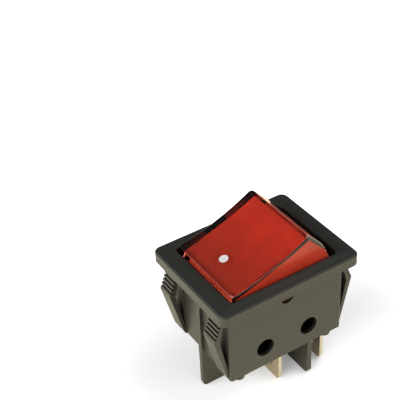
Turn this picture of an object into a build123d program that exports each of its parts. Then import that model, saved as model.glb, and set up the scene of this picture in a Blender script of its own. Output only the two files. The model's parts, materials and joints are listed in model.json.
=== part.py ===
from build123d import *
import math
import os

# Panel rocker switch: black snap-in housing, red lit rocker, two poles.
# Millimetres. X along the panel cut-out, Y across it, Z up out of the panel.
# The origin is the middle of the base, where the rear fins stand.

# Housing
body_length = 28.2
body_width = 22.0
body_depth = 17.7
side_wall = 0.8
end_wall = 1.1
floor_thickness = 1.8
body_corner_radius = 0.6
bezel_end_lip = 2.7
bezel_side_lip = 2.1
bezel_edge_height = 2.6
bezel_crown = 0.2
bezel_crown_inset = 0.75
bezel_crown_run = 1.4
bezel_corner_radius = 1.7
bezel_edge_chamfer = 0.35
opening_corner_radius = 0.8
opening_chamfer = 0.25
wall_hole_diameter = 4.2
wall_hole_spacing = 11.0
wall_hole_height = 4.9
label_field_length = 19.0
label_field_height = 4.2
label_field_depth = 0.15
label_field_drop = 4.2

# Snap latches, two at each end
latch_width = 3.9
latch_inset = 0.8
latch_root = 0.9
latch_flare = 2.2
latch_apex_drop = 5.8
latch_foot_rise = 0.6
latch_foot = 0.3
latch_strip = 1.0
latch_window_top = 2.4
latch_window_bottom = 2.2
latch_apex_thickness = 1.3
groove_count = 5
groove_width = 0.45
groove_depth = 0.4
groove_start = 1.5
end_recess = 0.4

# Rear fins
fin_length = 10.0
fin_thickness = 1.1
fin_overhang = 0.35
fin_corner_radius = 1.0
end_rib_top = 3.6
end_rib_slope = 2.0
cross_fin_offset = 4.7
cross_fin_inset = 0.6
post_diameter = 3.6
inner_partition_height = 6.5

# Blade terminals
tab_width = 6.3
tab_thickness = 0.8
tab_tip_rise = 0.2
tab_chamfer = 0.6
tab_hole_diameter = 1.9
tab_hole_from_tip = 3.6
tab_lug_width = 0.7
tab_lug_height = 1.1
slot_clearance = 0.05
boss_height = 1.4
boss_inset = 0.525
boss_rim = 0.9
line_inset = 1.9
shoulder_gap = 0.6
shoulder_height = 1.2
fork_ear = 0.65
fork_height = 1.6

# Contact rivets and see-saw arms
contact_diameter = 2.8
contact_height = 0.7
contact_offset = 1.4
contact_gap = 0.03
shank_diameter = 1.4
shank_clearance = 0.03
contact_margin = 0.5
arm_width = 4.4
arm_thickness = 0.8
arm_tilt = 7.0
arm_tail = 4.0
arm_pivot_height = 3.0
knife_gap = 0.12

# Rocker
rocker_tilt = 20.0
pivot_drop = 1.9
pivot_diameter = 3.1
pivot_clearance = 0.05
pivot_end_gap = 0.3
pivot_ear_radius = 3.0
rocker_side_gap = 0.35
rocker_end_gap = 0.75
rocker_swing_gap = 0.45
rocker_tip_height = 9.15
rocker_dish = 0.85
rocker_skirt = 0.5
rocker_wall = 1.1
rocker_roof = 1.5
rocker_corner_radius = 1.0
rocker_edge_radius = 0.35
dot_diameter = 2.0
dot_depth = 0.12
dot_offset = 5.1

# Plungers and their springs
guide_wall = 0.75
guide_drop = 3.6
guide_roof = 1.6
guide_cap = 0.95
guide_web = 1.6
plunger_diameter = 3.6
plunger_clearance = 0.05
plunger_guide = 2.1
plunger_barrel = 3.2
plunger_nose_radius = 1.2
plunger_nose_steps = 2
plunger_gap = 0.15
spring_wire = 0.45
spring_side_gap = 0.2
spring_turns = 6
spring_steps = 8
wire_sides = 6

# Lamp set in the rocker
lamp_diameter = 4.0
lamp_drop = 3.6
lamp_clearance = 0.08
cradle_thickness = 2.4
lead_wire = 0.5
lead_pad_height = 0.6
lead_slit_gap = 0.15
lead_spread = 0.8
lead_loop = 3.0
lead_end_gap = 2.0
resistor_diameter = 1.7
resistor_gap = 0.8

# Levels and places that follow from the sizes above
body_bottom = fin_length
seat_z = body_bottom + body_depth
bezel_top = seat_z + bezel_edge_height
inner_floor = body_bottom + floor_thickness
pivot_z = seat_z - pivot_drop
arm_pivot_z = inner_floor + arm_pivot_height
cavity_length = body_length - 2 * end_wall
cavity_width = body_width - 2 * side_wall
lane_width = (cavity_width - fin_thickness) / 2
lane_y = (cavity_width + fin_thickness) / 4
line_x = cavity_length / 2 - line_inset
cross_x = line_x - cross_fin_offset
contact_x = line_x - contact_offset
boss_length = body_width - 2 * lane_y - 2 * boss_inset
lanes = {"front": -lane_y, "rear": lane_y}

tilt_sin = math.sin(math.radians(rocker_tilt))
tilt_cos = math.cos(math.radians(rocker_tilt))
arm_sin = math.sin(math.radians(arm_tilt))
arm_cos = math.cos(math.radians(arm_tilt))

# Rocker sizes, measured from the pivot with the rocker upright.
# The pressed tip keeps its gap to the end of the opening. The ends are round about
# the pivot up to the shoulder, where a straight face runs on to the tip.
tip_x = (cavity_length / 2 - rocker_end_gap - rocker_tip_height * tilt_sin) / tilt_cos
swing_radius = cavity_length / 2 - rocker_swing_gap
tip_radius = math.hypot(tip_x, rocker_tip_height)
shoulder_angle = math.atan2(rocker_tip_height, tip_x) - math.acos(swing_radius / tip_radius)
top_radius = (tip_x ** 2 + rocker_dish ** 2) / (2 * rocker_dish)
rocker_width = cavity_width - 2 * rocker_side_gap
roof_z = rocker_tip_height - rocker_dish - rocker_roof
bore_radius = plunger_diameter / 2 + plunger_clearance
bore_top = roof_z - guide_roof
guide_top = bore_top + guide_cap
plunger_top = plunger_guide - guide_drop
plunger_reach = pivot_z - arm_pivot_z - arm_thickness - plunger_gap
lamp_z = roof_z - lamp_drop
lead_z = bore_top - lead_pad_height / 2
lead_x = lead_end_gap - math.sqrt((swing_radius - rocker_wall) ** 2 - lead_z ** 2)
lamp_length = -2 * (lead_x + lead_loop)
resistor_start = lead_x + lead_wire
resistor_length = -resistor_start - bore_radius - guide_wall - resistor_gap
spring_radius = bore_radius - spring_side_gap - spring_wire / 2

# Hollow of the contact arms, measured from the arm's pivot with the arm upright.
# Its arc follows the nose of the swinging plunger at an even gap.
nose_path = plunger_reach - plunger_nose_radius
pivot_depth = pivot_z - arm_pivot_z
nose_low = pivot_depth - nose_path
nose_lift = pivot_depth - nose_path * tilt_cos
nose_x = nose_path * tilt_sin * arm_cos - nose_lift * arm_sin
nose_rise = nose_lift * arm_cos + nose_path * tilt_sin * arm_sin - nose_low
path_radius = (nose_x ** 2 + nose_rise ** 2) / (2 * nose_rise)
hollow_z = nose_low + path_radius
hollow_radius = path_radius + plunger_nose_radius + plunger_gap
wing_x = nose_x * hollow_radius / path_radius
wing_z = hollow_z - math.sqrt(hollow_radius ** 2 - wing_x ** 2)

# Levels of the closed contacts. A closed arm's wing lies level.
wing_under = arm_pivot_z + wing_z * arm_cos - wing_x * arm_sin - arm_thickness
fixed_top = wing_under - contact_height - contact_gap
plate_top = fixed_top - contact_height
ledge_top = plate_top - tab_thickness
plate_end = contact_x - contact_diameter / 2 - contact_margin


def block(x0, x1, y0, y1, z0, z1):
    """Box between two corners."""
    middle = Pos((x0 + x1) / 2, (y0 + y1) / 2, (z0 + z1) / 2)
    return middle * Box(x1 - x0, y1 - y0, z1 - z0)


def slab(outline, y0, y1):
    """Plate of an XZ outline drawn at y = 0, placed from y0 to y1."""
    return Pos(0, y0, 0) * extrude(make_face(outline), amount=y1 - y0, dir=(0, 1, 0))


def straight(points):
    """Closed XZ outline of straight lines."""
    return Polyline(*[(x, 0, z) for x, z in points], close=True)


def rod_y(radius, x, z, y0, y1):
    """Round bar along Y."""
    return Pos(x, (y0 + y1) / 2, z) * Rot(90, 0, 0) * Cylinder(radius, y1 - y0)


def rod_z(radius, x, y, z0, z1):
    """Round bar along Z."""
    return Pos(x, y, (z0 + z1) / 2) * Cylinder(radius, z1 - z0)


def both_sides(shape):
    """The shape and its mirror image across the XZ plane."""
    return [shape, mirror(shape, about=Plane.XZ)]


def both_ends(shape):
    """The shape and its mirror image across the YZ plane."""
    return [shape, mirror(shape, about=Plane.YZ)]


def rounded(length, width, radius, z):
    """Rounded rectangle drawn at height z."""
    return Pos(0, 0, z) * RectangleRounded(length, width, radius)


def make_bezel():
    """Front frame with a bevelled outer edge and a slightly raised inner edge."""
    length = body_length + 2 * bezel_end_lip
    width = body_width + 2 * bezel_side_lip
    plate = extrude(rounded(length, width, bezel_corner_radius, seat_z), amount=bezel_edge_height)
    plate = chamfer(plate.edges().group_by(Axis.Z)[-1], length=bezel_edge_chamfer)
    low = 2 * bezel_crown_inset
    high = low + 2 * bezel_crown_run
    crown = loft([
        Pos(0, 0, bezel_top) * Rectangle(length - low, width - low),
        Pos(0, 0, bezel_top + bezel_crown) * Rectangle(length - high, width - high),
    ], ruled=True)
    return plate + crown


def latch_face_x(drop):
    """X of the outer face of a latch's upper leg, at a drop below the panel seat."""
    return body_length / 2 + latch_root + latch_flare * drop / latch_apex_drop


def make_latch():
    """Bowed strip at the +X end, grooved on its upper leg, open behind."""
    end_x = body_length / 2
    root_x = end_x - end_wall / 2
    apex_x = latch_face_x(latch_apex_drop)
    foot_z = body_bottom + latch_foot_rise
    window_z = seat_z - latch_window_top
    y0 = body_width / 2 - latch_inset - latch_width
    y1 = y0 + latch_width
    bow = slab(straight([
        (root_x, seat_z),
        (latch_face_x(0), seat_z),
        (apex_x, seat_z - latch_apex_drop),
        (end_x + latch_foot, foot_z),
        (root_x, foot_z),
    ]), y0, y1)
    bow -= slab(straight([
        (end_x, window_z),
        (latch_face_x(latch_window_top) - latch_strip, window_z),
        (apex_x - latch_apex_thickness, seat_z - latch_apex_drop - latch_strip / 2),
        (end_x, body_bottom + latch_window_bottom),
    ]), y0, y1)
    pitch = (latch_apex_drop - groove_start) / groove_count
    slope = math.degrees(math.atan2(latch_flare, latch_apex_drop))
    for i in range(groove_count):
        drop = groove_start + pitch * i
        notch = Rot(0, -slope, 0) * Box(2 * groove_depth, 3 * latch_width, groove_width)
        bow -= Pos(latch_face_x(drop), y0, seat_z - drop) * notch
    return bow


def make_fins():
    """Long partition, cross fin and round post that part the terminals."""
    half = body_length / 2 + fin_overhang
    side = fin_thickness / 2
    reach = body_width / 2 - cross_fin_inset
    root = body_bottom + floor_thickness / 2
    partition = block(-half, half, -side, side, 0, root)
    partition = fillet(partition.edges().filter_by(Axis.Y).group_by(Axis.Z)[0], radius=fin_corner_radius)
    cross = block(cross_x - side, cross_x + side, -reach, reach, 0, root)
    cross = fillet(cross.edges().filter_by(Axis.X).group_by(Axis.Z)[0], radius=fin_corner_radius)
    post = rod_z(post_diameter / 2, cross_x, 0, 0, root)
    rib_top = seat_z - end_rib_top
    rib_root = body_length / 2 - end_wall / 2
    rib = slab(straight([
        (rib_root, body_bottom),
        (half, body_bottom),
        (half, rib_top - end_rib_slope),
        (rib_root, rib_top),
    ]), -side, side)
    wall = block(-cavity_length / 2, cavity_length / 2, -side, side,
                 inner_floor, inner_floor + inner_partition_height)
    return [partition, cross, post, wall] + both_ends(rib)


def make_boss(x, y):
    """Raised rounded frame round a terminal slot, under the floor."""
    width = tab_thickness + 2 * boss_rim
    frame = Pos(x, y, body_bottom - boss_height) * Rot(0, 0, 90) * SlotOverall(boss_length, width)
    return extrude(frame, amount=boss_height + floor_thickness / 2)


def make_ledge(y):
    """Ledge inside the +X end that carries the plate of an end terminal."""
    half = tab_width / 2
    return block(plate_end, cavity_length / 2, y - half, y + half, inner_floor, ledge_top)


def make_slot(x, y):
    """Terminal slot through the floor, with its boss and ledge."""
    half_x = tab_thickness / 2 + slot_clearance
    half_y = tab_width / 2 + slot_clearance
    return block(x - half_x, x + half_x, y - half_y, y + half_y, body_bottom - 2 * boss_height, plate_top)


def opening_rim(shell):
    """Inner top edges of the bezel round the opening."""
    top = bezel_top + bezel_crown
    near = 0.01
    return [e for e in shell.edges() if abs(e.center().Z - top) < near
            and abs(e.center().X) < cavity_length / 2 + near
            and abs(e.center().Y) < cavity_width / 2 + near]


def make_housing():
    """One black moulding: bezel, walls, floor, latches and rear fins."""
    shell = extrude(rounded(body_length, body_width, body_corner_radius, body_bottom), amount=body_depth)
    recess_side = body_width / 2 - latch_inset - latch_width
    recess = block(body_length / 2 - end_recess, body_length, -recess_side, recess_side,
                   0, seat_z - latch_window_top)
    for cut in both_ends(recess):
        shell -= cut
    shell += make_bezel()
    for latch in both_sides(make_latch()):
        for one in both_ends(latch):
            shell += one
    shell -= extrude(rounded(cavity_length, cavity_width, opening_corner_radius, inner_floor), amount=bezel_top)
    shell = chamfer(opening_rim(shell), length=opening_chamfer)
    for y in lanes.values():
        shell += make_ledge(y)
        for x in (line_x, -line_x):
            shell += make_boss(x, y)
    for fin in make_fins():
        shell += fin
    for y in lanes.values():
        for x in (line_x, 0, -line_x):
            shell -= make_slot(x, y)
    inside = cavity_width / 2 - side_wall
    hole_z = body_bottom + wall_hole_height
    for x in (wall_hole_spacing / 2, -wall_hole_spacing / 2):
        for cut in both_sides(rod_y(wall_hole_diameter / 2, x, hole_z, inside, body_width)):
            shell -= cut
    pivot_hole = rod_y(pivot_diameter / 2 + pivot_clearance, 0, pivot_z, inside, body_width / 2)
    for cut in both_sides(pivot_hole):
        shell -= cut
    field_top = seat_z - label_field_drop
    shell -= block(-label_field_length / 2, label_field_length / 2,
                   body_width / 2 - label_field_depth, body_width,
                   field_top - label_field_height, field_top)
    return shell


def make_tab(x, y, top, lug_top):
    """Blade from its chamfered tip up to a height, with side lugs under the housing."""
    half = tab_width / 2
    side = tab_thickness / 2
    blade = block(x - side, x + side, y - half, y + half, tab_tip_rise, top)
    blade = chamfer(blade.edges().filter_by(Axis.X).group_by(Axis.Z)[0], length=tab_chamfer)
    blade += block(x - side, x + side, y - half - tab_lug_width, y + half + tab_lug_width,
                   lug_top - tab_lug_height, lug_top)
    hole = Pos(x, y, tab_tip_rise + tab_hole_from_tip) * Rot(0, 90, 0)
    return blade - hole * Cylinder(tab_hole_diameter / 2, 2 * tab_thickness)


def make_common_terminal(y):
    """Middle terminal: a blade with inner shoulders and a fork that carries the arm."""
    side = tab_thickness / 2
    half = tab_width / 2
    fork_top = arm_pivot_z + fork_height
    blade = make_tab(0, y, fork_top, body_bottom)
    blade -= block(-tab_thickness, tab_thickness, y - half + fork_ear, y + half - fork_ear,
                   arm_pivot_z - knife_gap, 2 * fork_top)
    shoulder = lane_width / 2 - shoulder_gap
    return blade + block(-side, side, y - shoulder, y + shoulder, inner_floor, inner_floor + shoulder_height)


def make_line_terminal(y):
    """End terminal: a blade bent over inside into a plate for the fixed contact."""
    half = tab_width / 2
    blade = make_tab(line_x, y, plate_top, body_bottom - boss_height)
    blade += block(plate_end, line_x + tab_thickness / 2, y - half, y + half, ledge_top, plate_top)
    return blade - rod_z(shank_diameter / 2 + shank_clearance, contact_x, y, ledge_top, plate_top)


def make_fixed_contact(y):
    """Contact rivet set in the end terminal's plate."""
    head = rod_z(contact_diameter / 2, contact_x, y, plate_top, fixed_top)
    return head + rod_z(shank_diameter / 2, contact_x, y, ledge_top, plate_top)


def make_moving_contact(y):
    """Contact rivet hanging under the arm's wing."""
    head = rod_z(contact_diameter / 2, contact_x, y, wing_under - contact_height, wing_under)
    return head + rod_z(shank_diameter / 2, contact_x, y, wing_under, wing_under + arm_thickness)


def arm_outline():
    """Outline of an upright arm: a hollow in the middle and a rising wing each side."""
    rise = arm_sin / arm_cos
    outer = hollow_radius + arm_thickness
    drop = wing_z - wing_x * rise - arm_thickness / arm_cos - hollow_z
    square = 1 + rise ** 2
    root = math.sqrt((rise * drop) ** 2 - square * (drop ** 2 - outer ** 2))
    under_x = (root - rise * drop) / square
    under_z = hollow_z + drop + rise * under_x
    end = contact_x + contact_diameter / 2 + contact_margin
    reach = end - wing_x * arm_cos - wing_z * arm_sin
    right_x = wing_x + reach * arm_cos
    right_z = wing_z + reach * arm_sin
    left_x = -wing_x - arm_tail * arm_cos
    left_z = wing_z + arm_tail * arm_sin
    skew = arm_thickness * arm_sin
    deep = arm_thickness * arm_cos
    low = hollow_z - hollow_radius
    top = ThreePointArc((-wing_x, 0, wing_z), (0, 0, low), (wing_x, 0, wing_z))
    right_wing = Polyline((wing_x, 0, wing_z), (right_x, 0, right_z),
                          (right_x + skew, 0, right_z - deep), (under_x, 0, under_z))
    bottom = ThreePointArc((under_x, 0, under_z), (0, 0, low - arm_thickness), (-under_x, 0, under_z))
    left_wing = Polyline((-under_x, 0, under_z), (left_x - skew, 0, left_z - deep),
                         (left_x, 0, left_z), (-wing_x, 0, wing_z))
    return top + right_wing + bottom + left_wing


def make_arm(y):
    """See-saw contact arm, tilted to the closed contact."""
    strip = slab(arm_outline(), y - arm_width / 2, y + arm_width / 2)
    strip = Pos(0, 0, arm_pivot_z) * Rot(0, arm_tilt, 0) * strip
    shank = shank_diameter / 2 + shank_clearance
    return strip - rod_z(shank, contact_x, y, wing_under - contact_height, wing_under + 2 * arm_thickness)


# The rocker and all it carries are drawn upright with the pivot at the origin, then tilted.

def tilted(shape):
    """Place a piece of the rocker with its -X end pressed."""
    return Pos(0, 0, pivot_z) * Rot(0, -rocker_tilt, 0) * shape


def end_point(radius, angle):
    """Point at the +X end of the rocker's side outline, at an angle about the pivot."""
    return radius * math.cos(angle), 0, radius * math.sin(angle)


def rocker_outline(end_inset, bottom):
    """Side outline of the rocker with its dished top, moved in from its ends."""
    radius = swing_radius - end_inset
    low_angle = math.asin(bottom / radius)
    knee = end_point(radius, shoulder_angle)
    mid = end_point(radius, (shoulder_angle + low_angle) / 2)
    low = end_point(radius, low_angle)
    z = rocker_tip_height
    x = knee[0] - (z - knee[2]) * math.tan(shoulder_angle)
    outline = ThreePointArc((-x, 0, z), (0, 0, z - rocker_dish), (x, 0, z))
    outline += Line((x, 0, z), knee) + ThreePointArc(knee, mid, low)
    knee, mid, low_left = [(-px, 0, pz) for px, py, pz in (knee, mid, low)]
    return outline + Line(low, low_left) + ThreePointArc(low_left, mid, knee) + Line(knee, (-x, 0, z))


def rocker_cap():
    """Dished cap with leaning ends, rounded corners and a flat roof over its open underside."""
    half = rocker_width / 2
    cap = slab(rocker_outline(0, -rocker_skirt), -half, half)
    corners = [e for e in cap.edges() if abs(e.center().Y) > half / 2 and abs(e.center().X) > tip_x / 2]
    cap = fillet(corners, radius=rocker_corner_radius)
    top = [e for e in cap.edges() if e.bounding_box().min.Z > rocker_tip_height - 2 * rocker_dish]
    cap = fillet(top, radius=rocker_edge_radius)
    inner = half - rocker_wall
    hollow = slab(rocker_outline(rocker_wall, -2 * rocker_skirt), -inner, inner)
    hollow -= block(-swing_radius, swing_radius, -half, half, roof_z, 2 * rocker_tip_height)
    return cap - hollow


def guide_bore(y):
    """Bore for a plunger and its spring, with a slit for the lamp lead."""
    bore = rod_z(bore_radius, 0, y, -guide_drop, bore_top)
    side = lead_wire / 2 + lead_slit_gap
    return bore + block(-2 * bore_radius, 0, y - side, y + side, lead_z - side, lead_z + side)


def lamp_cradle():
    """Bridge between the plunger guides with a slot that holds the lamp."""
    seat = lamp_diameter / 2 + lamp_clearance
    side = cradle_thickness / 2
    bridge = block(-side, side, -lane_y, lane_y, lamp_z - lamp_diameter / 2, guide_top)
    bridge -= Pos(0, 0, lamp_z) * Rot(0, 90, 0) * Cylinder(seat, 2 * cradle_thickness)
    return bridge - block(-side, side, -seat, seat, lamp_z - lamp_diameter, lamp_z)


def make_rocker():
    """Red moulding: cap, pivot pins, plunger guides and lamp cradle."""
    half = rocker_width / 2
    rocker = rocker_cap()
    for ear in both_sides(rod_y(pivot_ear_radius, 0, 0, half - rocker_wall, half)):
        rocker += ear
    pin_end = body_width / 2 - pivot_end_gap
    for pin in both_sides(rod_y(pivot_diameter / 2, 0, 0, half - rocker_wall / 2, pin_end)):
        rocker += pin
    for web in both_sides(block(-guide_web / 2, guide_web / 2, lane_y, half - rocker_wall / 2, 0, guide_top)):
        rocker += web
    for y in lanes.values():
        rocker += rod_z(bore_radius + guide_wall, 0, y, -guide_drop, guide_top)
    rocker += lamp_cradle()
    for y in lanes.values():
        rocker -= guide_bore(y)
    lean = math.degrees(math.asin(dot_offset / top_radius))
    dot_z = rocker_tip_height - rocker_dish + top_radius - math.sqrt(top_radius ** 2 - dot_offset ** 2)
    dot = Rot(0, lean, 0) * Cylinder(dot_diameter / 2, 2 * dot_depth)
    return rocker - Pos(-dot_offset, 0, dot_z) * dot


def wire(points, thickness):
    """Wire through the points, drawn with flat sides and mitred bends."""
    path = Polyline(*points)
    start = Plane(origin=path @ 0, z_dir=path % 0)
    return sweep(start * RegularPolygon(thickness / 2, wire_sides), path=path, transition=Transition.RIGHT)


def make_plunger(y):
    """Turned plunger with a guided barrel, a thinner neck and a nose rounded in steps."""
    shoulder = plunger_top - plunger_barrel
    nose_z = plunger_nose_radius - plunger_reach
    outline = []
    for i in range(plunger_nose_steps + 1):
        angle = math.pi / 2 * i / plunger_nose_steps
        outline.append((plunger_nose_radius * math.sin(angle), 0, nose_z - plunger_nose_radius * math.cos(angle)))
    outline.append((plunger_nose_radius, 0, shoulder))
    outline.append((plunger_diameter / 2, 0, shoulder))
    outline.append((plunger_diameter / 2, 0, plunger_top))
    outline.append((0, 0, plunger_top))
    return Pos(0, y, 0) * revolve(make_face(Polyline(*outline, close=True)), axis=Axis.Z)


def make_spring(y):
    """Coil spring between the plunger and the lamp lead's pad, in straight steps."""
    low = plunger_top + spring_wire / 2
    height = bore_top - lead_pad_height - spring_wire / 2 - low
    steps = spring_turns * spring_steps
    turn = 2 * math.pi / spring_steps
    knots = []
    for i in range(steps + 1):
        x = spring_radius * math.cos(i * turn)
        knots.append((x, spring_radius * math.sin(i * turn), height * i / steps))
    return Pos(0, y, low) * wire(knots, spring_wire)


def make_lamp():
    """Glow lamp lying along the rocker, flat at its base, narrowed at its tip."""
    glass = Cylinder(lamp_diameter / 2, lamp_length)
    glass = chamfer(glass.edges().group_by(Axis.Z)[-1], length=lamp_diameter / 4)
    return Pos(0, 0, lamp_z) * Rot(0, 90, 0) * glass


def lead_pad(y):
    """Disc at the top of a guide bore, pressed up by the spring."""
    return rod_z(bore_radius - spring_side_gap, 0, y, bore_top - lead_pad_height, bore_top)


def lead_start(y):
    """First points of a lead, from the lamp's base out to its lane."""
    spread = math.copysign(lead_spread, y)
    return [(-lamp_length / 2, spread, lamp_z), (lead_x, spread, lamp_z), (lead_x, y, lead_z)]


def make_front_lead(y):
    """Lead from the lamp straight to the front spring's pad."""
    return wire(lead_start(y) + [(-bore_radius / 2, y, lead_z)], lead_wire) + lead_pad(y)


def make_rear_lead(y):
    """Lead from the lamp to the resistor."""
    return wire(lead_start(y) + [(resistor_start, y, lead_z)], lead_wire)


def make_resistor(y):
    """Body of the lamp's series resistor."""
    middle = Pos(resistor_start + resistor_length / 2, y, lead_z)
    return middle * Rot(0, 90, 0) * Cylinder(resistor_diameter / 2, resistor_length)


def make_resistor_lead(y):
    """Lead from the resistor to the rear spring's pad."""
    start = resistor_start + resistor_length
    return wire([(start, y, lead_z), (-bore_radius / 2, y, lead_z)], lead_wire) + lead_pad(y)


parts = {
    "housing": make_housing(),
    "rocker": tilted(make_rocker()),
    "lamp": tilted(make_lamp()),
    "lamp_lead_front": tilted(make_front_lead(lanes["front"])),
    "lamp_lead_rear": tilted(make_rear_lead(lanes["rear"])),
    "lamp_resistor": tilted(make_resistor(lanes["rear"])),
    "resistor_lead": tilted(make_resistor_lead(lanes["rear"])),
}
for lane, centre in lanes.items():
    parts["common_terminal_" + lane] = make_common_terminal(centre)
    parts["line_terminal_" + lane] = make_line_terminal(centre)
    parts["fixed_contact_" + lane] = make_fixed_contact(centre)
    parts["moving_contact_" + lane] = make_moving_contact(centre)
    parts["contact_arm_" + lane] = make_arm(centre)
    parts["plunger_" + lane] = tilted(make_plunger(centre))
    parts["plunger_spring_" + lane] = tilted(make_spring(centre))

os.makedirs("parts", exist_ok=True)
for name, shape in parts.items():
    export_step(shape, "parts/" + name + ".step")
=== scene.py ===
import json
import math

import bpy
from bpy.props import FloatProperty, FloatVectorProperty, IntProperty, PointerProperty
from mathutils import Matrix, Vector


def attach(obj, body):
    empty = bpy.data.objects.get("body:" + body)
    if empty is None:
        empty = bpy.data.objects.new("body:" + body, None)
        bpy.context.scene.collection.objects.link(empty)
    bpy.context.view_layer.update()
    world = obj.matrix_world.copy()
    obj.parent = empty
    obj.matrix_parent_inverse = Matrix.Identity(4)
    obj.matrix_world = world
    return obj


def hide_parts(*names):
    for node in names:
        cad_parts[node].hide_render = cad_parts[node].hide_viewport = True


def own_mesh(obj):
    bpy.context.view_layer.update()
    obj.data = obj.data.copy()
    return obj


bl_info = {
    "name": "Panel rocker switch",
    "version": (1, 0, 0),
    "blender": (4, 5, 0),
    "location": "3D View > Sidebar > Switch",
    "description": "Dresses the packed panel rocker switch and lights it on a pale floor",
    "category": "Object",
}

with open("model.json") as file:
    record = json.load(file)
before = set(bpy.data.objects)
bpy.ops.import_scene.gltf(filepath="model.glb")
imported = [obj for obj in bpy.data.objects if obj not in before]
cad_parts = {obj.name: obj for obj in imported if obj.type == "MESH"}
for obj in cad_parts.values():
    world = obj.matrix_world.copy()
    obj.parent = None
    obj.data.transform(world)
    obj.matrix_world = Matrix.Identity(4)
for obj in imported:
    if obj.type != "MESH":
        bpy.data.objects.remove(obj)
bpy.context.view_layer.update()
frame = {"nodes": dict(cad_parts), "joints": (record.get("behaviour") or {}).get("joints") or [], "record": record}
NODES = frame["nodes"]
RECORD = frame["record"]
JOINTS = {joint["name"]: joint for joint in frame["joints"]}
LANES = ("front", "rear")
PIVOT = Vector(JOINTS["rocker_tilt"]["pos_m"])
ROCKER_REST = math.radians(-20)
SLOT_NODES = {}
for subpart in RECORD["subparts"]:
    SLOT_NODES.setdefault(subpart["material_slot"], []).append(subpart["node"])
SLOT_COLOURS = {entry["slot"]: entry["base_color"] for entry in RECORD["materials"]}

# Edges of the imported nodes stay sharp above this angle, in degrees.
SHARP_EDGE = 25
# Refractive indices of the black and the clear red plastic.
BLACK_INDEX = 1.53
CLEAR_INDEX = 1.58
# Depth of the finest grain and streaks, in metres, and how strongly the streaks of metal show.
GRAIN_DEPTH = 0.00002
STREAK_STRENGTH = 0.08
# Marks in one metre of moulded plastic and of rolled metal.
FLOW_SCALE, GRAIN_SCALE = 260.0, 9000.0
PATCH_SCALE, STREAK_SCALE = 500.0, 5000.0
# Faces of the terminals that look less than this along X are cut edges.
CUT_BELOW = 0.6

# Millimetres in a metre, and the shares of a normal that make a face look along an axis or straight along it.
MM = 1000
LOOKS_ALONG = 0.5
LOOKS_STRAIGHT = 0.95

# Limits between the finishes of the housing's faces, in millimetres: the bezel's top, the inside of the body, the
# outward faces of its long walls, and the grooves in the latches, whose faces lean out below the bezel's seat. The
# bezel's top takes a darker colour that is painted shade, and the inside of the body and the grooves a darker black
# that is painted shade.
BEZEL_TOP = 29.9
INSIDE_BOTTOM, INSIDE_TOP = 10.1, 30.2
INSIDE_LENGTH, INSIDE_WIDTH = 13.2, 10.78
OUTWARD_FROM = 10.3
LATCH_SEAT_X, LATCH_SEAT_Z, LATCH_LEAN = 15.0, 27.7, 0.3793
GROOVE_DEPTHS = (0.1, 0.6)
GROOVE_HEIGHTS = (22.1, 26.6)
GROOVE_SPAN = (6.2, 10.3)

# Limits between the finishes of the upright rocker's faces, in millimetres from its pivot, and the direction that the
# flat ends of the cap face.
PIN_FROM = 9.9
SIDE_FROM = 9.3
ROOF_UNDERSIDE = 7.0
CAP_REACH = 12.0
END_NORMAL_X, END_NORMAL_Z = 0.9170, 0.3989
# Lower line of the dark band painted as shade along the clear edge on the rocker's sides: its height at the middle,
# and its rise with the square of the distance from there, in metres.
EDGE_MIDDLE, EDGE_RISE = 0.00785, 3.115
# Part of the rocker's length over which its inside goes from a painted shade at the pressed end to full red, in
# metres.
SHADE_UNTIL, FULL_FROM = -0.011, 0.002

# Colours of the floor's paper, of plain white and of the world's light, which fades from the horizon to a height.
PAPER = (0.92, 0.92, 0.92)
WHITE = (1, 1, 1)
HORIZON = (0.60, 0.60, 0.58, 1)
OVERHEAD = (0.10, 0.10, 0.10, 1)
OVERHEAD_FROM = 0.22
# Soft lamps: name, place in metres, width and height in metres, power in watts.
SOFTBOXES = (
    ("key_light", (0.24, -0.10, 0.50), (0.35, 0.35), 1.5),
    ("fill_light", (0.30, -0.56, 0.36), (1.0, 0.6), 2.6),
    ("side_light", (-0.80, -0.02, 0.34), (1.1, 0.8), 14.5),
)
LAMP_AIM = (0, 0, 0.015)


def length(name, description, default):
    """Length property in metres."""
    return FloatProperty(name=name, description=description, default=default, min=0, unit="LENGTH", precision=5)


def share(name, description, default):
    """Property between nought and one."""
    return FloatProperty(name=name, description=description, default=default, min=0, max=1, subtype="FACTOR")


def colour(name, description, default):
    """Linear colour property."""
    return FloatVectorProperty(name=name, description=description, default=default, size=3, min=0, max=1,
                               subtype="COLOR")


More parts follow.
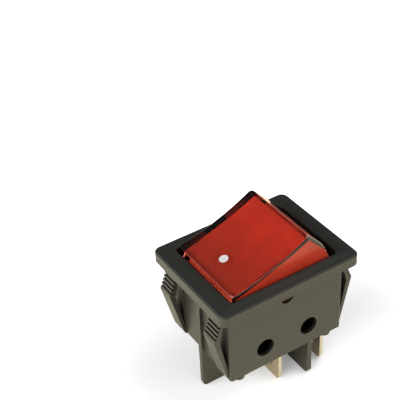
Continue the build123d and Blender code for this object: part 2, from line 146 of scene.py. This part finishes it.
class SwitchFinish(bpy.types.PropertyGroup):
    """Colours and gloss of the switch's surfaces"""
    housing: colour("Housing", "Black moulding of the housing", (0.034, 0.033, 0.026))
    housing_gloss: share("Housing roughness", "Roughness of the black moulding", 0.38)
    # Painted shade: a darker black for the faces inside the body, its holes and the latches' grooves, where shade
    # falls.
    housing_painted_shade: colour("Housing inside", "Dull black faces inside the housing", (0.012, 0.011, 0.009))
    # The bezel's top: rougher and less glossy, with a darker colour that is painted shade.
    bezel: colour("Bezel", "Textured black faces of the bezel", (0.017, 0.018, 0.015))
    bezel_gloss: share("Bezel roughness", "Roughness of the bezel's textured faces", 0.5)
    rocker: colour("Rocker", "Clear red moulding of the rocker", (0.80, 0.17, 0.10))
    rocker_clear: share("Rocker clearness", "Share of light that passes into the rocker", 1.0)
    rocker_inside: colour("Rocker inside", "Matt red faces inside the rocker", (0.74, 0.12, 0.065))
    # Painted shade: the inside of the rocker darker towards its pressed end.
    rocker_inside_painted_shade: colour("Rocker inside, marked end", "The same faces where less light comes through",
                        (0.46, 0.10, 0.06))
    rocker_flank: colour("Rocker sides", "Full red of the rocker's long sides", (0.42, 0.035, 0.016))
    # Painted shade: a dark band that stands in for the dark look of the clear edge along the top of the sides.
    rocker_edge_painted_shade: colour("Rocker edge", "Dark clear edge along the top of the rocker's sides", (0.012, 0.004, 0.003))
    # Painted shade: the red pins darkened to the shade of their bearings.
    rocker_pins_painted_shade: colour("Rocker pins", "Pivot pins in their dark bearings", (0.02, 0.004, 0.003))
    tin: colour("Tin", "Tinned faces of the terminals", (0.52, 0.46, 0.36))
    brass: colour("Brass", "Bare cut edges of the terminals", (0.74, 0.69, 0.58))
    dot: colour("Dot", "Paint of the mark on the rocker", (0.52, 0.50, 0.51))


class MarkSizes(bpy.types.PropertyGroup):
    """Painted mark in its recess on the rocker"""
    diameter: length("Diameter", "Diameter of the painted mark", 0.00196)
    thickness: length("Thickness", "Thickness of the paint in the recess", 0.00009)
    offset: length("Offset", "Distance of the mark from the pivot, along the upright rocker", 0.0051)
    rise: length("Rise", "Height of the recess's floor above the pivot", 0.008415)
    lean: FloatProperty(name="Lean", description="Lean of the dished top at the mark",
                        default=math.radians(5.24), subtype="ANGLE")
    sides: IntProperty(name="Sides", description="Sides of the mark's outline", default=48, min=12)


class CoilSizes(bpy.types.PropertyGroup):
    """Coil springs behind the plungers"""
    wire: length("Wire", "Diameter of the spring's wire", 0.00045)
    radius: length("Radius", "Radius of the coil to the wire's middle", 0.001425)
    bottom: length("Depth", "Depth of the first turn below the rocker's pivot", 0.001275)
    height: length("Height", "Height of the coil between the wire's middles", 0.00565)
    turns: IntProperty(name="Turns", description="Turns of the coil", default=6, min=1)
    steps: IntProperty(name="Steps", description="Steps in one turn", default=28, min=8)
    sides: IntProperty(name="Sides", description="Sides of the wire's section", default=10, min=4)


class StageSizes(bpy.types.PropertyGroup):
    """Floor, light and camera"""
    floor: length("Floor", "Length of the floor's side", 6.0)
    floor_glow: share("Floor glow", "Share of the floor's white that takes no shadow", 0.20)
    shadow_near: length("Shadow reach", "Distance from the middle where the shadow starts to fade", 0.034)
    shadow_far: length("White from", "Distance from the middle where the floor is plain white", 0.085)
    mirror_glow: share("Mirrored glow", "Share of that white in reflections", 0.06)
    cream: colour("Floor tint", "Warm tint of the floor's light on the switch", (0.92, 0.85, 0.62))
    lens: FloatProperty(name="Lens", description="Focal length on a 36 mm sensor", default=89.213, min=1)
    camera: FloatVectorProperty(name="Camera", description="Place of the camera", size=3, unit="LENGTH",
                                default=(-0.088708, -0.128302, 0.159658))
    forward: FloatVectorProperty(name="Forward", description="Direction the camera looks in", size=3,
                                 default=(0.41047, 0.68985, -0.59634))
    up: FloatVectorProperty(name="Up", description="Up direction of the picture", size=3,
                            default=(0.35505, 0.48146, 0.80133))


def tilted(points):
    """Points of the upright rocker, placed as the rocker rests."""
    place = Matrix.Translation(PIVOT) @ Matrix.Rotation(ROCKER_REST, 4, "Y")
    return [place @ Vector(point) for point in points]


def new_piece(name, points, faces, smooth_angle=30):
    """Mesh object from points and faces, shaded smooth up to an angle."""
    mesh = bpy.data.meshes.new(name)
    mesh.from_pydata([tuple(p) for p in points], [], faces)
    mesh.update()
    piece = bpy.data.objects.new(name, mesh)
    bpy.context.scene.collection.objects.link(piece)
    shade(piece, smooth_angle)
    return piece


def shade(piece, angle):
    """Smooth shading with sharp edges above an angle."""
    with bpy.context.temp_override(object=piece, active_object=piece, selected_objects=[piece],
                                   selected_editable_objects=[piece]):
        bpy.ops.object.shade_smooth_by_angle(angle=math.radians(angle))


def dress(piece, material):
    """Give a piece one material."""
    piece.data.materials.clear()
    piece.data.materials.append(material)


def dress_slot(slot, material):
    """Give every node of a material slot its material."""
    for name in SLOT_NODES[slot]:
        dress(NODES[name], material)
        shade(NODES[name], SHARP_EDGE)


def group(name, inputs, outputs):
    """New shader node group with float or colour sockets."""
    tree = bpy.data.node_groups.new(name, "ShaderNodeTree")
    for label, kind, default in inputs:
        socket = tree.interface.new_socket(label, in_out="INPUT", socket_type=kind)
        socket.default_value = default
    for label, kind in outputs:
        tree.interface.new_socket(label, in_out="OUTPUT", socket_type=kind)
    return tree, tree.nodes.new("NodeGroupInput"), tree.nodes.new("NodeGroupOutput")


def noise(tree, vector, scale, detail=3.0):
    """Noise texture on a vector output."""
    node = tree.nodes.new("ShaderNodeTexNoise")
    node.inputs["Scale"].default_value = scale
    node.inputs["Detail"].default_value = detail
    tree.links.new(vector, node.inputs["Vector"])
    return node


def math_node(tree, operation, a, b):
    """Math node on two links or numbers."""
    node = tree.nodes.new("ShaderNodeMath")
    node.operation = operation
    for socket, value in zip(node.inputs, (a, b)):
        if isinstance(value, (int, float)):
            socket.default_value = value
        else:
            tree.links.new(value, socket)
    return node.outputs[0]


def mould_group():
    """Fine grain and faint flow marks of a moulded surface."""
    name = "Moulded surface"
    if name in bpy.data.node_groups:
        return bpy.data.node_groups[name]
    tree, source, sink = group(name, [
        ("Roughness", "NodeSocketFloat", 0.4),
        ("Spread", "NodeSocketFloat", 0.06),
        ("Colour", "NodeSocketColor", (0.5, 0.5, 0.5, 1)),
        ("Mottle", "NodeSocketFloat", 0.12),
    ], [("Roughness", "NodeSocketFloat"), ("Colour", "NodeSocketColor"), ("Grain", "NodeSocketFloat")])
    where = tree.nodes.new("ShaderNodeTexCoord").outputs["Object"]
    flow = noise(tree, where, FLOW_SCALE)
    grain = noise(tree, where, GRAIN_SCALE, detail=2.0)
    swing = math_node(tree, "MULTIPLY", math_node(tree, "SUBTRACT", flow.outputs["Fac"], 0.5), 2.0)
    rough = math_node(tree, "ADD", source.outputs["Roughness"],
                      math_node(tree, "MULTIPLY", swing, source.outputs["Spread"]))
    tree.links.new(rough, sink.inputs["Roughness"])
    mottle = math_node(tree, "MULTIPLY", swing, source.outputs["Mottle"])
    tint = tree.nodes.new("ShaderNodeHueSaturation")
    tree.links.new(source.outputs["Colour"], tint.inputs["Color"])
    tree.links.new(math_node(tree, "ADD", mottle, 1.0), tint.inputs["Value"])
    tree.links.new(tint.outputs["Color"], sink.inputs["Colour"])
    tree.links.new(grain.outputs["Fac"], sink.inputs["Grain"])
    return tree


def metal_group():
    """Rolling streaks and dull patches of bare and tinned metal."""
    name = "Rolled metal"
    if name in bpy.data.node_groups:
        return bpy.data.node_groups[name]
    tree, source, sink = group(name, [
        ("Roughness", "NodeSocketFloat", 0.3),
        ("Spread", "NodeSocketFloat", 0.1),
        ("Colour", "NodeSocketColor", (0.5, 0.5, 0.5, 1)),
    ], [("Roughness", "NodeSocketFloat"), ("Colour", "NodeSocketColor"), ("Height", "NodeSocketFloat")])
    where = tree.nodes.new("ShaderNodeTexCoord").outputs["Object"]
    stretch = tree.nodes.new("ShaderNodeMapping")
    stretch.inputs["Scale"].default_value = (1.0, 1.0, 0.12)
    tree.links.new(where, stretch.inputs["Vector"])
    streak = noise(tree, stretch.outputs["Vector"], STREAK_SCALE, detail=2.0)
    patch = noise(tree, where, PATCH_SCALE)
    swing = math_node(tree, "MULTIPLY", math_node(tree, "SUBTRACT", patch.outputs["Fac"], 0.5), 2.0)
    rough = math_node(tree, "ADD", source.outputs["Roughness"],
                      math_node(tree, "MULTIPLY", swing, source.outputs["Spread"]))
    tree.links.new(rough, sink.inputs["Roughness"])
    tint = tree.nodes.new("ShaderNodeHueSaturation")
    tree.links.new(source.outputs["Colour"], tint.inputs["Color"])
    tree.links.new(math_node(tree, "ADD", math_node(tree, "MULTIPLY", swing, 0.15), 0.97), tint.inputs["Value"])
    tree.links.new(tint.outputs["Color"], sink.inputs["Colour"])
    tree.links.new(streak.outputs["Fac"], sink.inputs["Height"])
    return tree


def principled(name, constants):
    """New material with constants on its shader; returns it with its node tree and Principled BSDF."""
    material = bpy.data.materials.new(name)
    material.use_nodes = True
    bsdf = material.node_tree.nodes["Principled BSDF"]
    for label, value in constants.items():
        bsdf.inputs[label].default_value = value
    return material, material.node_tree, bsdf


def place_group(tree, which, values):
    """Node group placed in a material with its own values."""
    node = tree.nodes.new("ShaderNodeGroup")
    node.node_tree = which
    for label, value in values.items():
        if hasattr(value, "node"):
            tree.links.new(value, node.inputs[label])
        else:
            node.inputs[label].default_value = value
    return node


def coat(tree, bsdf, surface):
    """Roughness and colour of a surface group into the shader."""
    tree.links.new(surface.outputs["Roughness"], bsdf.inputs["Roughness"])
    tree.links.new(surface.outputs["Colour"], bsdf.inputs["Base Color"])


def bump(tree, bsdf, height, strength):
    """Bump of a height output into the shader's normal."""
    node = tree.nodes.new("ShaderNodeBump")
    node.inputs["Strength"].default_value = strength
    node.inputs["Distance"].default_value = GRAIN_DEPTH
    tree.links.new(height, node.inputs["Height"])
    tree.links.new(node.outputs["Normal"], bsdf.inputs["Normal"])


def moulded_material(name, tint, roughness, spread, grain, constants=None):
    """Moulded plastic with fine grain."""
    material, tree, bsdf = principled(name, constants or {})
    surface = place_group(tree, mould_group(), {"Roughness": roughness, "Spread": spread, "Colour": (*tint, 1)})
    coat(tree, bsdf, surface)
    bump(tree, bsdf, surface.outputs["Grain"], grain)
    return material


def mix_node(tree, factor, a, b):
    """Colour mix of two colours by a factor output."""
    node = tree.nodes.new("ShaderNodeMix")
    node.data_type = "RGBA"
    tree.links.new(factor, node.inputs[0])
    for socket, value in ((node.inputs[6], a), (node.inputs[7], b)):
        if hasattr(value, "node"):
            tree.links.new(value, socket)
        else:
            socket.default_value = (*value, 1)
    return node.outputs[2]


def seen_plain(tree, path):
    """Mask of what the camera sees directly or through clear plastic, which adds no light to a surface."""
    straight = math_node(tree, "LESS_THAN", path.outputs["Diffuse Depth"], 0.5)
    through = math_node(tree, "MULTIPLY", path.outputs["Is Transmission Ray"], straight)
    return math_node(tree, "MAXIMUM", path.outputs["Is Camera Ray"], through)


def painted_edge_shade(tree):
    """Mask of the dark band painted as shade along the cap's clear top edge, above a line that rises from the middle
    to both ends of the rocker.
    """
    upright = tree.nodes.new("ShaderNodeMapping")
    upright.vector_type = "TEXTURE"
    upright.inputs["Location"].default_value = PIVOT
    upright.inputs["Rotation"].default_value = (0, ROCKER_REST, 0)
    tree.links.new(tree.nodes.new("ShaderNodeTexCoord").outputs["Object"], upright.inputs["Vector"])
    split = tree.nodes.new("ShaderNodeSeparateXYZ")
    tree.links.new(upright.outputs["Vector"], split.inputs["Vector"])
    square = math_node(tree, "MULTIPLY", split.outputs["X"], split.outputs["X"])
    line = math_node(tree, "ADD", math_node(tree, "MULTIPLY", square, EDGE_RISE), EDGE_MIDDLE)
    return math_node(tree, "GREATER_THAN", split.outputs["Z"], line)


def backed_material(name, shaded_end, full, roughness, edge=None, constants=None):
    """Matt backing behind clear plastic: a full mirror to rays that meet it too flat to leave the plastic. Its colour
    goes from a painted shade at the pressed end to full along the rocker, and may carry a dark band painted as shade
    along the top edge.
    """
    material, tree, bsdf = principled(name, constants or {})
    split = tree.nodes.new("ShaderNodeSeparateXYZ")
    tree.links.new(tree.nodes.new("ShaderNodeTexCoord").outputs["Object"], split.inputs["Vector"])
    # Painted shade: the backing darkens along the rocker towards the pressed end.
    along = tree.nodes.new("ShaderNodeMapRange")
    along.inputs["From Min"].default_value = SHADE_UNTIL
    along.inputs["From Max"].default_value = FULL_FROM
    tree.links.new(split.outputs["X"], along.inputs["Value"])
    tint = mix_node(tree, along.outputs["Result"], shaded_end, full)
    # Painted shade: a dark band along the clear top edge of the sides.
    if edge is not None:
        tint = mix_node(tree, painted_edge_shade(tree), tint, edge)
    surface = place_group(tree, mould_group(),
                          {"Roughness": roughness, "Spread": 0.05, "Mottle": 0.22, "Colour": tint})
    gloss = tree.nodes.new("ShaderNodeFresnel")
    gloss.inputs["IOR"].default_value = CLEAR_INDEX
    behind = tree.nodes.new("ShaderNodeNewGeometry").outputs["Backfacing"]
    mirror = math_node(tree, "MULTIPLY", gloss.outputs["Fac"], behind)
    tree.links.new(mix_node(tree, mirror, surface.outputs["Colour"], WHITE), bsdf.inputs["Base Color"])
    tree.links.new(mirror, bsdf.inputs["Metallic"])
    matt = math_node(tree, "SUBTRACT", 1.0, mirror)
    tree.links.new(math_node(tree, "MULTIPLY", surface.outputs["Roughness"], matt), bsdf.inputs["Roughness"])
    return material


def rolled(tree, bsdf, values):
    """Rolled metal with faint streaks on a shader."""
    surface = place_group(tree, metal_group(), values)
    coat(tree, bsdf, surface)
    bump(tree, bsdf, surface.outputs["Height"], STREAK_STRENGTH)


def metal_material(name, tint, roughness):
    """Bare metal of one colour."""
    material, tree, bsdf = principled(name, {"Metallic": 1.0})
    rolled(tree, bsdf, {"Roughness": roughness, "Spread": 0.08, "Colour": (*tint, 1)})
    return material


def tinned_material(name, tin, brass):
    """Tinned strip: pale rolled faces, and bare brass where it was cut and punched."""
    material, tree, bsdf = principled(name, {"Metallic": 1.0})
    normal = tree.nodes.new("ShaderNodeNewGeometry").outputs["True Normal"]
    split = tree.nodes.new("ShaderNodeSeparateXYZ")
    tree.links.new(normal, split.inputs["Vector"])
    facing = math_node(tree, "ABSOLUTE", split.outputs["X"], 0.0)
    cut = math_node(tree, "LESS_THAN", facing, CUT_BELOW)
    rolled(tree, bsdf, {"Roughness": 0.34, "Spread": 0.10, "Colour": mix_node(tree, cut, tin, brass)})
    return material


class SWITCH_OT_housing(bpy.types.Operator):
    """Dress the black housing"""
    bl_idname = "switch.housing"
    bl_label = "Housing"

    def execute(self, context):
        finish = context.scene.switch_finish
        black = moulded_material("housing_black", finish.housing, finish.housing_gloss, spread=0.06, grain=0.12,
                                 constants={"IOR": BLACK_INDEX})
        # Bezel's top: a rougher copy of the black whose darker colour is painted shade.
        matt = moulded_material("housing_black_bezel_painted_shade", finish.bezel, finish.bezel_gloss, spread=0.06, grain=0.25,
                                constants={"IOR": BLACK_INDEX, "Specular IOR Level": 0.22})
        # Painted shade: the darker black of the faces inside the body and in the latches' grooves.
        inside = moulded_material("housing_black_painted_shade", finish.housing_painted_shade, roughness=0.7, spread=0.05, grain=0.1,
                                  constants={"Specular IOR Level": 0.15})
        dress_slot("housing_black", black)
        for name in SLOT_NODES["housing_black"]:
            NODES[name].data.materials.append(matt)
            NODES[name].data.materials.append(inside)
            for face in NODES[name].data.polygons:
                face.material_index = self.side(face.center * MM, face.normal)
        return {"FINISHED"}

    def side(self, point, normal):
        """Material of a face: 0 outside, 1 on the bezel's top, with a darker colour that is painted shade, 2 inside
        the body or in a latch's groove, a darker black that is painted shade.
        """
        x, y, z = abs(point.x), abs(point.y), point.z
        if z > BEZEL_TOP and normal.z > LOOKS_ALONG:
            return 1
        outward = y > OUTWARD_FROM and normal.y * point.y > LOOKS_ALONG * y
        if INSIDE_BOTTOM < z < INSIDE_TOP and x < INSIDE_LENGTH and y < INSIDE_WIDTH and not outward:
            return 2
        sunk = LATCH_SEAT_X + LATCH_LEAN * (LATCH_SEAT_Z - z) - x
        limits = ((sunk, GROOVE_DEPTHS), (z, GROOVE_HEIGHTS), (y, GROOVE_SPAN))
        groove = all(low < value < high for value, (low, high) in limits)
        return 2 if groove and abs(normal.y) < LOOKS_ALONG else 0


class SWITCH_OT_rocker(bpy.types.Operator):
    """Dress the red rocker"""
    bl_idname = "switch.rocker"
    bl_label = "Rocker"

    def execute(self, context):
        finish = context.scene.switch_finish
        red = moulded_material("rocker_red", finish.rocker, roughness=0.08, spread=0.02, grain=0.02,
                               constants={"IOR": CLEAR_INDEX, "Transmission Weight": finish.rocker_clear})
        inside = backed_material("rocker_red_inside", finish.rocker_inside_painted_shade, finish.rocker_inside, roughness=0.6)
        # Painted shade: the pins darkened to the shade in their bearings.
        pins = moulded_material("rocker_red_pins_painted_shade", finish.rocker_pins_painted_shade, roughness=0.7, spread=0.05, grain=0.02,
                                constants={"Specular IOR Level": 0.1})
        flank = backed_material("rocker_red_flank", finish.rocker_flank, finish.rocker_flank, roughness=0.2,
                                edge=finish.rocker_edge_painted_shade, constants={"Specular IOR Level": 0.35})
        dress_slot("rocker_red", red)
        rocker = NODES["rocker"]
        for material in (inside, pins, flank):
            rocker.data.materials.append(material)
        upright = Matrix.Rotation(-ROCKER_REST, 4, "Y") @ Matrix.Translation(-PIVOT)
        for face in rocker.data.polygons:
            face.material_index = self.side((upright @ face.center) * MM, face.normal)
        return {"FINISHED"}

    def side(self, point, normal):
        """Material of a face: 0 outside, 1 inside the cap, darker towards the pressed end as painted shade, 2 on a
        pivot pin, painted dark as shade, 3 on the cap's long sides.
        """
        x, y, z = point
        if abs(y) > PIN_FROM:
            return 2
        if abs(y) > SIDE_FROM and abs(normal.y) > LOOKS_STRAIGHT:
            return 3
        under_roof = z < ROOF_UNDERSIDE
        between_ends = math.hypot(x, z) < CAP_REACH and abs(x) * END_NORMAL_X + z * END_NORMAL_Z < CAP_REACH
        return 1 if under_roof and between_ends and abs(y) < SIDE_FROM else 0


class SWITCH_OT_mark(bpy.types.Operator):
    """Lay the white paint in the recess on the rocker's pressed end"""
    bl_idname = "switch.mark"
    bl_label = "Painted mark"

    def execute(self, context):
        sizes = context.scene.switch_mark
        count = sizes.sides
        place = Matrix.Translation((-sizes.offset, 0, sizes.rise)) @ Matrix.Rotation(sizes.lean, 4, "Y")
        points = []
        for z in (0.0, sizes.thickness):
            for i in range(count):
                angle = 2 * math.pi * i / count
                points.append(place @ Vector((sizes.diameter / 2 * math.cos(angle),
                                              sizes.diameter / 2 * math.sin(angle), z)))
        faces = [tuple(range(count))[::-1], tuple(range(count, 2 * count))]
        for i in range(count):
            j = (i + 1) % count
            faces.append((i, j, count + j, count + i))
        mark = new_piece("rocker_mark", tilted(points), faces)
        dress(mark, moulded_material("mark_white", context.scene.switch_finish.dot, roughness=0.35, spread=0.05,
                                     grain=0.05))
        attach(mark, "rocker")
        return {"FINISHED"}


class SWITCH_OT_terminals(bpy.types.Operator):
    """Dress the blade terminals and their contacts"""
    bl_idname = "switch.terminals"
    bl_label = "Terminals and contacts"

    def execute(self, context):
        finish = context.scene.switch_finish
        dress_slot("tinned_brass", tinned_material("tinned_brass", finish.tin, finish.brass))
        dress_slot("contact_silver", metal_material("contact_silver", SLOT_COLOURS["contact_silver"], roughness=0.3))
        return {"FINISHED"}


class SWITCH_OT_mechanism(bpy.types.Operator):
    """Dress the see-saw arms and plungers and wind the springs"""
    bl_idname = "switch.mechanism"
    bl_label = "Arms, plungers and springs"

    def execute(self, context):
        for slot, roughness in (("arm_copper", 0.32), ("plunger_brass", 0.28)):
            dress_slot(slot, metal_material(slot, SLOT_COLOURS[slot], roughness))
        steel = metal_material("spring_steel", SLOT_COLOURS["spring_steel"], roughness=0.3)
        for lane in LANES:
            self.wind(context.scene.switch_coil, lane, steel)
        return {"FINISHED"}

    def wind(self, sizes, lane, steel):
        """One round-wire coil in place of the plain spring of a lane."""
        joint = JOINTS["plunger_" + lane + "_slide"]
        y = joint["pos_m"][1]
        steps = sizes.turns * sizes.steps
        slope = math.atan2(sizes.height / sizes.turns, 2 * math.pi * sizes.radius)
        points = []
        for i in range(steps + 1):
            turn = 2 * math.pi * i / sizes.steps
            out = Vector((math.cos(turn), math.sin(turn), 0))
            along = Vector((-math.sin(turn) * math.cos(slope), math.cos(turn) * math.cos(slope), math.sin(slope)))
            over = out.cross(along)
            middle = out * sizes.radius + Vector((0, y, sizes.height * i / steps - sizes.bottom))
            for k in range(sizes.sides):
                angle = 2 * math.pi * k / sizes.sides
                points.append(middle + (out * math.cos(angle) + over * math.sin(angle)) * sizes.wire / 2)
        n = sizes.sides
        faces = [tuple(range(n)), tuple(range(steps * n, steps * n + n))[::-1]]
        for i in range(steps):
            for k in range(n):
                m = (k + 1) % n
                faces.append((i * n + k, (i + 1) * n + k, (i + 1) * n + m, i * n + m))
        node = "plunger_spring_" + lane
        coil = new_piece("spring_coil_" + lane, tilted(points), faces, smooth_angle=60)
        dress(coil, steel)
        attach(coil, "rocker")
        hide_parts(node)
        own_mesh(coil)


class SWITCH_OT_lamp(bpy.types.Operator):
    """Dress the glow lamp, its resistor and its leads"""
    bl_idname = "switch.lamp"
    bl_label = "Lamp set"

    def execute(self, context):
        glass = moulded_material("lamp_glass", SLOT_COLOURS["lamp_glass"], roughness=0.06, spread=0.04, grain=0.02,
                                 constants={"Transmission Weight": 0.9})
        wire = metal_material("tinned_wire", SLOT_COLOURS["tinned_wire"], roughness=0.3)
        body = moulded_material("resistor_body", SLOT_COLOURS["resistor_body"], roughness=0.4, spread=0.05, grain=0.05)
        for slot, material in (("lamp_glass", glass), ("tinned_wire", wire), ("resistor_body", body)):
            dress_slot(slot, material)
        return {"FINISHED"}


class SWITCH_OT_stage(bpy.types.Operator):
    """Lay the pale floor, set the soft lights and place the camera"""
    bl_idname = "switch.stage"
    bl_label = "Stage"

    def execute(self, context):
        scene = context.scene
        sizes = scene.switch_stage
        scene.view_settings.view_transform = "Standard"
        self.floor(sizes)
        self.sky(scene)
        for name, place, size, power in SOFTBOXES:
            self.softbox(name, place, size, power)
        camera = bpy.data.cameras.new("photo_camera")
        camera.sensor_fit = "HORIZONTAL"
        camera.sensor_width = 36.0
        camera.lens = sizes.lens
        camera.clip_start = 0.005
        camera.clip_end = 20.0
        eye = bpy.data.objects.new("photo_camera", camera)
        scene.collection.objects.link(eye)
        forward = Vector(sizes.forward).normalized()
        right = forward.cross(Vector(sizes.up)).normalized()
        up = right.cross(forward)
        turn = Matrix((right, up, -forward)).transposed().to_4x4()
        eye.matrix_world = Matrix.Translation(sizes.camera) @ turn
        scene.camera = eye
        return {"FINISHED"}

    def floor(self, sizes):
        """Pale floor that stays white in the picture and keeps the shadow."""
        half = sizes.floor / 2
        plane = new_piece("floor", [(-half, -half, 0), (half, -half, 0), (half, half, 0), (-half, half, 0)],
                          [(0, 1, 2, 3)])
        paper, tree, bsdf = principled("floor_paper", {"Roughness": 0.9, "Specular IOR Level": 0.0,
                                                       "Emission Color": (*WHITE, 1)})
        path = tree.nodes.new("ShaderNodeLightPath")
        tint = mix_node(tree, path.outputs["Is Camera Ray"], sizes.cream, PAPER)
        tree.links.new(tint, bsdf.inputs["Base Color"])
        place = tree.nodes.new("ShaderNodeNewGeometry")
        reach = tree.nodes.new("ShaderNodeVectorMath")
        reach.operation = "LENGTH"
        tree.links.new(place.outputs["Position"], reach.inputs[0])
        spread = tree.nodes.new("ShaderNodeMapRange")
        spread.inputs["From Min"].default_value = sizes.shadow_near
        spread.inputs["From Max"].default_value = sizes.shadow_far
        spread.inputs["To Min"].default_value = sizes.floor_glow
        tree.links.new(reach.outputs["Value"], spread.inputs["Value"])
        seen = math_node(tree, "MULTIPLY", seen_plain(tree, path), spread.outputs["Result"])
        mirrored = math_node(tree, "MULTIPLY", path.outputs["Is Glossy Ray"], sizes.mirror_glow)
        tree.links.new(math_node(tree, "MAXIMUM", seen, mirrored), bsdf.inputs["Emission Strength"])
        dress(plane, paper)

    def sky(self, scene):
        """World that is white to the camera and soft grey as light."""
        world = bpy.data.worlds.new("studio")
        scene.world = world
        world.use_nodes = True
        tree = world.node_tree
        back = tree.nodes["Background"]
        where = tree.nodes.new("ShaderNodeTexCoord")
        split = tree.nodes.new("ShaderNodeSeparateXYZ")
        tree.links.new(where.outputs["Generated"], split.inputs["Vector"])
        ramp = tree.nodes.new("ShaderNodeValToRGB")
        horizon, overhead = ramp.color_ramp.elements
        horizon.color = HORIZON
        overhead.color = OVERHEAD
        overhead.position = OVERHEAD_FROM
        tree.links.new(split.outputs["Z"], ramp.inputs["Fac"])
        plain = seen_plain(tree, tree.nodes.new("ShaderNodeLightPath"))
        tree.links.new(mix_node(tree, plain, ramp.outputs["Color"], WHITE), back.inputs["Color"])

    def softbox(self, name, place, size, power):
        """Soft rectangular lamp aimed at the switch."""
        lamp = bpy.data.lights.new(name, "AREA")
        lamp.shape = "RECTANGLE"
        lamp.size, lamp.size_y = size
        lamp.energy = power
        holder = bpy.data.objects.new(name, lamp)
        bpy.context.scene.collection.objects.link(holder)
        aim = Vector(LAMP_AIM) - Vector(place)
        holder.matrix_world = Matrix.Translation(place) @ aim.to_track_quat("-Z", "Y").to_matrix().to_4x4()


class SWITCH_PT_sidebar(bpy.types.Panel):
    """Pieces and sizes of the switch"""
    bl_label = "Panel rocker switch"
    bl_idname = "SWITCH_PT_sidebar"
    bl_space_type = "VIEW_3D"
    bl_region_type = "UI"
    bl_category = "Switch"

    def draw(self, context):
        for operator in OPERATORS:
            self.layout.operator(operator.bl_idname)
        for label in GROUPS:
            box = self.layout.box()
            settings = getattr(context.scene, label)
            for key in settings.bl_rna.properties.keys():
                if key not in ("rna_type", "name"):
                    box.prop(settings, key)


OPERATORS = (SWITCH_OT_housing, SWITCH_OT_rocker, SWITCH_OT_mark, SWITCH_OT_terminals, SWITCH_OT_mechanism,
             SWITCH_OT_lamp, SWITCH_OT_stage)
GROUPS = {"switch_finish": SwitchFinish, "switch_mark": MarkSizes, "switch_coil": CoilSizes,
          "switch_stage": StageSizes}


def register():
    for label, settings in GROUPS.items():
        bpy.utils.register_class(settings)
        setattr(bpy.types.Scene, label, PointerProperty(type=settings))
    for operator in OPERATORS:
        bpy.utils.register_class(operator)
    bpy.utils.register_class(SWITCH_PT_sidebar)


def unregister():
    bpy.utils.unregister_class(SWITCH_PT_sidebar)
    for operator in reversed(OPERATORS):
        bpy.utils.unregister_class(operator)
    for label, settings in GROUPS.items():
        delattr(bpy.types.Scene, label)
        bpy.utils.unregister_class(settings)


def main():
    """Register the add-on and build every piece."""
    register()
    bpy.ops.switch.housing()
    bpy.ops.switch.rocker()
    bpy.ops.switch.mark()
    bpy.ops.switch.terminals()
    bpy.ops.switch.mechanism()
    bpy.ops.switch.lamp()
    bpy.ops.switch.stage()


if __name__ == "__main__":
    main()
